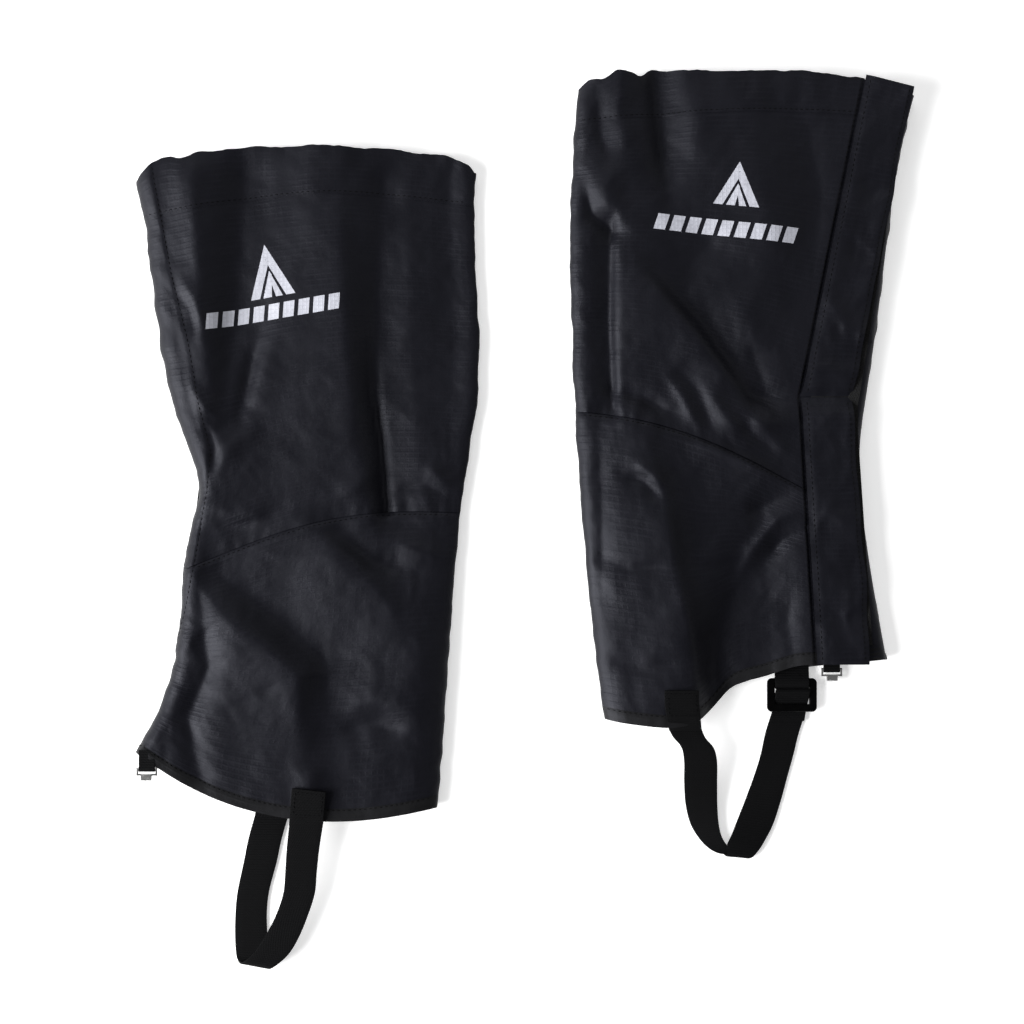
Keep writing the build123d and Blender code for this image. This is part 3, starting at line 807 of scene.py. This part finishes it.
def flap_height(node, x, y, across):
    """Height of a flap section; across is 0 at its sewn edge and 1 at its free edge."""
    if node.startswith("left"):
        return 0.75 + 0.2 * noise(x, y, 15, 61) + 1.1 * smooth(0.10, 0.0, across)
    rise = 14.9 + 0.5 * noise(x, y, 30, 62) + 0.7 * crumple(x, y, 24, 63) + 0.25 * crumple(x, y, 9, 64)
    # The pinch at the ankle seam, with a hump on either side, and the raised calf corner.
    rise = rise - 2.6 * hump(y, 76, 5) + 2.4 * hump(y, 64, 5)
    rise = rise + 1.2 * hump(y, 92, 6) + 2.6 * smooth(250, 272, y) * across ** 2
    for path, height, before, after in RIGHT_FLAP_FOLDS:
        rise += fold(x, y, path, height, before, after, 0.4, 1)
    # A groove along the stitches, the two edges turned down, and a slack middle at the calf.
    rise -= 0.3 * hump(across * FLAP_WIDTH, FLAP_STITCHES[0], 1.0)
    rise = rise - 0.9 * smooth(0.9, 1.0, across) - 0.9 * smooth(0.14, 0.0, across)
    return rise - 0.8 * smooth(0.2, 0.5, across) * smooth(0.9, 0.6, across) * hump(y, 180, 40)


def bend_at_hinge(made, hinge_top, hinge_foot, free_top):
    """Works out where a left flap section's sewn edge meets the gaiter and where the section turns, but
    moves nothing there; it only bakes the section's place into its mesh.
    """
    along = (hinge_foot - hinge_top) / np.linalg.norm(hinge_foot - hinge_top)
    inward = (free_top - hinge_top) - (free_top - hinge_top) @ along * along
    inward = inward / np.linalg.norm(inward)
    start, end = [(hinge_top + inward * reach) * MM for reach in (LEFT_FLAP_INSET, FLAP_BEND)]
    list(start)
    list(end)
    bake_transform(made)


def flap_section(node):
    """One flap section, from its sewn edge to its free edge, with its stitches."""
    hinge_top, hinge_foot, free_foot, free_top = np.array(FLAPS[node], float)
    shares = np.linspace(0, 1, int(abs(hinge_top[1] - hinge_foot[1]) / 2.0))[:, None, None]
    places = np.linspace(0, 1, 26)[None, :, None]
    hinge = hinge_top + (hinge_foot - hinge_top) * shares
    free = free_top + (free_foot - free_top) * shares
    if node.startswith("left"):
        hinge = hinge + np.array([LEFT_FLAP_INSET, 0])
    free = free + np.array([1.5, 0]) * noise(free[..., :1], free[..., 1:], 34, 65)
    plan = mix(hinge, free, places)
    x, y = plan[..., 0], plan[..., 1]
    z = flap_height(node, x, y, np.broadcast_to(places[..., 0], x.shape))
    made = grid_object(node + "_cloth", np.stack([x, y, z], -1), SHELL, False, 0.6)
    if node.startswith("left"):
        bend_at_hinge(made, hinge_top, hinge_foot, free_top)
    else:
        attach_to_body(made, node)
    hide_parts(node)
    stitches = Stitching()
    tree, mean = surface_of([made]), float(np.mean(z))
    for share in np.array(FLAP_STITCHES) / FLAP_WIDTH:
        path = mix(hinge[1:-1, 0], free[1:-1, 0], share)
        stitches.run(path, lambda px, py: height_on(tree, px, py, mean))
    stitches.make(node + "_stitching", node)


for side, shell in shells.items():
    margin = left_margin() if side == "left" else right_margin()
    attach(margin, shell.body, "nylon_shell", f"{side}_front_margin")
    lay_tape(f"{side}_loop_tape", LOOP, "loop_tape", shell.body, 1.0)
    for part in ("upper", "lower"):
        flap_section(f"{side}_flap_{part}")
        lay_tape(f"{side}_hook_tape_{part}", HOOK, "hook_tape", f"{side}_flap_{part}", 0.9)


# ---- elastics inside the cloth
def elastic_band(shell, piece, upper, lower, inner):
    """Gathered elastic inside the upper layer, from the back fold as far as inner."""
    g = shell.gaiter
    near_back = lambda y: g.back(y) - 6 if g is left else g.back(y) + 6
    far = lambda y: inner + 0 * y
    start, stop = (far, near_back) if g is left else (near_back, far)
    height = lambda x, y: upper_height(g, x, y) * rounded(np.abs(x - g.back(y)), 26) * 0.45 + 1.6
    made = patch(f"{g.name}_{piece}_band", upper, lower, start, stop, height, ELASTIC, 8, 60, 0.9)
    attach(made, shell.body, "elastic_tape", f"{g.name}_{piece}")


for side, inner_top, inner_ankle in (("left", -198, -88), ("right", 202, 92)):
    shell = shells[side]
    g = shell.gaiter
    elastic_band(shell, "top_elastic", lambda x: g.top(x) - 4, lambda x: g.casing(x) + 4, inner_top)
    elastic_band(shell, "ankle_elastic", lambda x: g.seam(x) + 5, lambda x: g.seam(x) - 4, inner_ankle)


# ---- stitching on the shells
# Casing, ankle and hem seams: where on Y their two ends are read, and how far towards the calf
# from the panel's edge their stitches run.
SEAM_ENDS = {"left": (200, 0, -160), "right": (250, 45, -110)}
SEAM_SHIFTS = (0.6, -2.0, 6.9)


def shell_stitching(shell):
    """Casing, ankle, hem and flap seams of one gaiter, on its upper layer."""
    g = shell.gaiter
    sewing = Stitching()
    low = lambda y: float(g.low(y) if g is left else g.back(y)) + 3
    high = lambda y: float(g.back(y) if g is left else g.flap_low(y)) - 3
    for line, y, shift in zip((g.casing, g.seam, g.hem), SEAM_ENDS[g.name], SEAM_SHIFTS):
        sewing.run(along_line(line, low(y), high(y), shift), shell.height)
    flap_seam = LEFT_FLAP_SEAM if g is left else along_edge(g.flap_low, 268, -84, -2.2)
    sewing.run(flap_seam, shell.height)
    sewing.make(f"{g.name}_shell_stitching", shell.body)


for shell in shells.values():
    shell_stitching(shell)


# ---- webbing
def curve_through(rows, step=2.0):
    """Rows of numbers again, on a smooth curve through them, about a step apart in the plan."""
    rows = np.array(rows, float)
    made = []
    ext = np.concatenate([[2 * rows[0] - rows[1]], rows, [2 * rows[-1] - rows[-2]]])
    for a, b, c, d in zip(ext, ext[1:], ext[2:], ext[3:]):
        count = max(2, int(np.linalg.norm((c - b)[:3]) / step))
        for t in np.arange(count) / count:
            made.append(0.5 * (2 * b + (c - a) * t + (2 * a - 5 * b + 4 * c - d) * t ** 2
                               + (3 * b - a - 3 * c + d) * t ** 3))
    made.append(rows[-1])
    return np.array(made)


def ribbon(name, rows, thickness=WEB, crown=0.25):
    """Webbing through rows of (left edge xyz, right edge xyz), crown higher along its middle."""
    rows = curve_through(rows)
    places = np.linspace(0, 1, 11)
    points = mix(rows[:, None, :3], rows[:, None, 3:], places[None, :, None])
    points[..., 2] += crown * (1 - (2 * places[None, :] - 1) ** 6) - crown / 2
    obj = grid_object(name, points, WEBBING, False, thickness, 0.0)
    bevel = obj.modifiers.new("soft_edges", "BEVEL")
    bevel.width = 0.35 * MM
    bevel.segments = 2
    bevel.limit_method = "ANGLE"
    return obj


def level(y_left, x_left, x_right, z, y_right=None):
    """A row whose two edges are at one height."""
    return (x_left, y_left, z, x_right, y_left if y_right is None else y_right, z)


def lengthwise(name, x, width, path, body, node, slant=0.0):
    """Webbing that runs along Y through (y, z) places, such as a tab round a bar."""
    rows = []
    for y, z in path:
        lean = slant * (y - path[0][0])
        rows.append((x - width / 2 + lean, y, z, x + width / 2 + lean, y, z))
    attach(ribbon(name, rows, crown=0.0, thickness=1.1), body, "webbing", node)


def round_bar(y_far, y_bar, z_bar, low, high, radius, down, reach):
    """(y, z) path that comes to a bar, goes loosely round it and comes back."""
    turns = [(y_bar + down * reach * math.cos(a), z_bar + radius * math.sin(a))
             for a in np.radians([-80, -40, 0, 40, 80])]
    return [(y_far, low), ((y_far + y_bar) / 2, low), *turns, ((y_far + y_bar) / 2, high), (y_far, high)]


# Slider's bars: their height, the webbing's radius round them, the tab's bar and the strap's bar
# below the slider's upper edge, and the webbing's width between the slider's sides.
BAR_Z, WRAP, TAB_BAR, STRAP_BAR, TAB_WIDTH = 3.75, 2.1, 2.4, 10.4, 21.2
for side, x, upper_edge, tab_end, strap_end, lean in (("left", -157, -159, -149, -187, 1.0),
                                                      ("right", 167, -99, -88, -126, 2.6)):
    tab = round_bar(tab_end, upper_edge - TAB_BAR, BAR_Z, 2.2, 3.5, WRAP, -1, 3.8)
    lengthwise(f"{side}_buckle_tab_webbing", x, TAB_WIDTH, tab, f"{side}_gaiter", f"{side}_buckle_tab")
    doubled = round_bar(strap_end, upper_edge - STRAP_BAR, BAR_Z, 0.6, 1.9, WRAP, 1, 3.6)
    lengthwise(f"{side}_strap_end_webbing", x - lean, TAB_WIDTH, doubled, f"{side}_strap_buckle",
               f"{side}_strap_buckle_end", slant=0.17)

HOOK_TAB_WIDTH = 10.0
for side, x, bar, bar_z, end in (("left", -234, -154.5, 12.4, -143), ("right", 192, -93.5, 2.6, -83)):
    tab = round_bar(end, bar, bar_z, bar_z - 0.7, bar_z + 0.7, 1.5, -1, 1.5)
    lengthwise(f"{side}_hook_tab_webbing", x, HOOK_TAB_WIDTH, tab, f"{side}_gaiter", f"{side}_hook_tab")


def strap(side, rows):
    """Instep loop, bent across the gap below the hem where the CAD opens it."""
    made = ribbon(f"{side}_instep_strap_webbing", rows)
    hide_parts(f"{side}_instep_strap")
    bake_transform(made)


LEFT_STRAP = [
    level(-186, -145.2, -124.2, 14.2), level(-204, -147.2, -127, 13.6), level(-218, -148.2, -128.6, 12.2),
    level(-232, -149.6, -130, 10.6), level(-246, -154.3, -134.4, 9.4), level(-259, -161, -140.2, 8.6, -260),
    level(-268.5, -167, -147, 8.2, -271), level(-275, -174, -156, 7.6, -278.6),
    level(-276.5, -177, -159.6, 4.4, -279.4), level(-274, -179.5, -162, 1.4, -276.5),
    level(-262, -180.6, -160.6, 0.9), level(-246, -180.4, -160.8, 0.9), level(-232, -179, -159.3, 0.9),
    level(-214, -175.2, -154.6, 0.9), level(-200, -172.4, -151.6, 0.9), level(-184, -168, -147, 0.9),
]
strap("left", LEFT_STRAP)

RIGHT_STRAP = [
    level(-127, 88.4, 108.6, 14.2, -126.4), (92, -134.4, 13.8, 112, -135, 13.8),
    (97.4, -141, 13.2, 117.4, -141.5, 13.2), (99.2, -150, 11.4, 119.6, -150, 11.4),
    (99.5, -164, 7.6, 120, -164, 7.6), (100.8, -178, 3.6, 120.4, -178, 4.6),
    (104.2, -190.5, 1.4, 121.4, -190, 3.6), (110.6, -200.6, 0.9, 123.6, -198.6, 3.2),
    (117.4, -206.6, 0.9, 128, -205, 2), (124, -209, 1.4, 134, -209.4, 1.6),
    (127, -209.6, 3.4, 141, -211.4, 2), (126.4, -203.4, 4.2, 146.4, -206.4, 2.4),
    (129, -197.6, 4, 151, -199, 2), (133.4, -186.9, 2.6, 155.6, -190, 1.4),
    (138.8, -173.5, 1.2, 160.4, -175.5, 0.9), level(-160, 143.8, 164.6, 0.9),
    level(-147, 147.8, 168.2, 0.9), level(-134, 150.6, 171.4, 0.9), level(-121, 154.6, 175.6, 0.9),
]
strap("right", RIGHT_STRAP)


def sewn_end(side, rows, corners):
    """Strap's upper end, sewn flat on the hem with a box of stitches through four corners."""
    shell = shells[side]
    fine = curve_through(rows, 1.5)
    for row in fine:
        (x, y), (far_x, far_y) = row[:2], row[3:5]
        places = (x + 1, y), (far_x - 1, far_y), ((x + far_x) / 2, (y + far_y) / 2)
        row[2] = row[5] = max(12.6, *(shell.height(*place, 0) for place in places)) + 0.95
    smoothed = np.convolve(np.pad(fine[:, 2], 3, "edge"), np.ones(7) / 7, "valid")
    fine[:, 2] = fine[:, 5] = smoothed + 0.25
    made = ribbon(f"{side}_strap_sewn_end_webbing", fine)
    attach(made, f"{side}_gaiter", "webbing", f"{side}_strap_sewn_end")
    height = lambda x, y: float(np.interp(-y, -fine[:, 1], fine[:, 2])) + 0.85
    sewing = Stitching()
    for path in zip(corners, corners[1:] + corners[:1]):
        sewing.run(path, height, step=2.8, length=2.0)
    sewing.make(f"{side}_strap_box_stitching", f"{side}_gaiter")


sewn_end("left", [level(-166, -143.6, -122.6, 15.3, -168.4), level(-176, -144.6, -123.4, 15.3, -177),
                  level(-190, -145.8, -124.8, 14.6)],
         [(-141.6, -168.6), (-124.8, -170.6), (-126, -183.4), (-143, -182.6)])
sewn_end("right", [level(-105.4, 86.4, 107.6, 15.2), level(-116, 86.8, 108, 15.1),
                   level(-130.5, 89.6, 109.8, 14.4)],
         [(88.6, -107.6), (105.6, -107.6), (106.2, -121), (89.2, -121)])


# ---- print, buckles and hooks
INK_STEP = 1.2  # about the size of the ink's faces, so that it follows the cloth


def printed(name, shell, origin, degrees, shapes):
    """Thin ink shapes on the upper layer: quadrilaterals in the mark's own axes."""
    angle = math.radians(degrees)
    turn = np.array([[math.cos(angle), -math.sin(angle)], [math.sin(angle), math.cos(angle)]])
    points, faces, flat = [], [], []
    for corners in shapes:
        a, b, c, d = np.array(corners, float)
        across = max(2, int(max(np.linalg.norm(b - a), np.linalg.norm(c - d)) / INK_STEP) + 1)
        along = max(2, int(max(np.linalg.norm(d - a), np.linalg.norm(c - b)) / INK_STEP) + 1)
        base = len(points)
        for v in np.linspace(0, 1, along):
            for u in np.linspace(0, 1, across):
                place = mix(mix(a, b, u), mix(d, c, u), v)
                x, y = turn @ place + origin
                points.append((x, y, shell.height(x, y) + 0.12))
                flat.append((x, y))
        for i in range(along - 1):
            for j in range(across - 1):
                k = base + i * across + j
                faces.append([k, k + 1, k + across + 1, k + across])
    attach(mesh_object(name, points, faces, INK, flat), shell.body, "printed_mark")


def mountain_mark(h):
    """A plain peak h high, with a lower one in front of it."""
    return [[(-13, 0), (-7.2, 0), (3.4, h * 0.80), (0.6, h)],
            [(0.6, h), (-0.4, h * 0.70), (9.5, 0), (15.4, 0)],
            [(-5.0, 0), (0.4, 0), (2.4, h * 0.42), (1.0, h * 0.5)],
            [(1.0, h * 0.5), (0.8, h * 0.36), (3.0, 0), (7.4, 0)]]


def bar_row(length, height, count, lean):
    """Slanting bars with narrow gaps, as a band."""
    pitch = length / count
    width = pitch * 0.72
    return [[(at, 0), (at + width, 0), (at + width + lean, height), (at + lean, height)]
            for at in np.arange(count) * pitch]


printed("left_printed_mark", shells["left"], (-157.0, 138.0), 9, mountain_mark(33))
printed("left_printed_band", shells["left"], (-197.0, 117.6), 9, bar_row(86, 9.6, 9, 2.2))
printed("right_printed_mark", shells["right"], (130.0, 194.6), -6, mountain_mark(27))
printed("right_printed_band", shells["right"], (80.0, 180.4), -6.2, bar_row(90, 9.8, 9, 2.2))

for side in ("left", "right"):
    for piece, material in (("buckle", PLASTIC), ("lace_hook", METAL)):
        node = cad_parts[f"{side}_{piece}"]
        node.data.materials.clear()
        node.data.materials.append(material)


# ---- camera, floor and light, in metres
camera = bpy.data.objects.new("camera", bpy.data.cameras.new("camera"))
camera.data.lens = 85
camera.data.sensor_width = 36
camera.location = (-0.0076, 0.0046, 1.512)
scene.collection.objects.link(camera)
scene.camera = camera

floor_material = Surface("floor_paper", (0.93, 0.93, 0.93), 0.9, Emission_Color=(1, 1, 1, 1),
                         Emission_Strength=0.45)
grain = floor_material.noise(floor_material.object_place(), 0.4)
floor_material.roughness(floor_material.remap(grain, 0.3, 0.7, 0.86, 0.94))
FLOOR_HALF, FLOOR_Z = 15, -0.0004
corners = ((-1, -1), (1, -1), (1, 1), (-1, 1))
floor_corners = [(x * FLOOR_HALF, y * FLOOR_HALF, FLOOR_Z) for x, y in corners]
floor_mesh = bpy.data.meshes.new("floor")
floor_mesh.from_pydata(floor_corners, [], [[0, 1, 2, 3]])
floor = bpy.data.objects.new("floor", floor_mesh)
floor.data.materials.append(floor_material.material)
scene.collection.objects.link(floor)
floor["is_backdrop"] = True


def softbox(name, place, target, size, power):
    light = bpy.data.objects.new(name, bpy.data.lights.new(name, "AREA"))
    light.data.shape = "RECTANGLE"
    light.data.size, light.data.size_y = size
    light.data.energy = power
    light.location = place
    light.rotation_mode = "QUATERNION"
    light.rotation_quaternion = (Vector(target) - Vector(place)).to_track_quat("-Z", "Y")
    scene.collection.objects.link(light)


softbox("key_light", (-2.2, -0.6, 1.15), (0, 0, 0), (1.6, 1.8), 165)
softbox("fill_light", (2.1, 0.8, 1.8), (0, 0, 0), (2.0, 2.0), 10)
softbox("calf_light", (-0.2, 2.3, 1.8), (0, 0, 0), (2.0, 1.4), 22)

# Sky: brightest at the horizon and darker above.
world = bpy.data.worlds.new("studio")
world.use_nodes = True
sky = world.node_tree
towards = add_node(sky, "TexCoord").outputs["Generated"]
up = add_node(sky, "SeparateXYZ", towards).outputs[2]
brightness = add_node(sky, "MapRange", up, 0.0, 0.35, 0.80, 0.14).outputs[0]
sky.nodes["Background"].inputs["Color"].default_value = (1, 1, 1, 1)
sky.links.new(brightness, sky.nodes["Background"].inputs["Strength"])
scene.world = world
scene.view_settings.view_transform = "Standard"

low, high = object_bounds()
{"cad": [list(cad_low), list(cad_high)], "visual": [list(low), list(high)]}
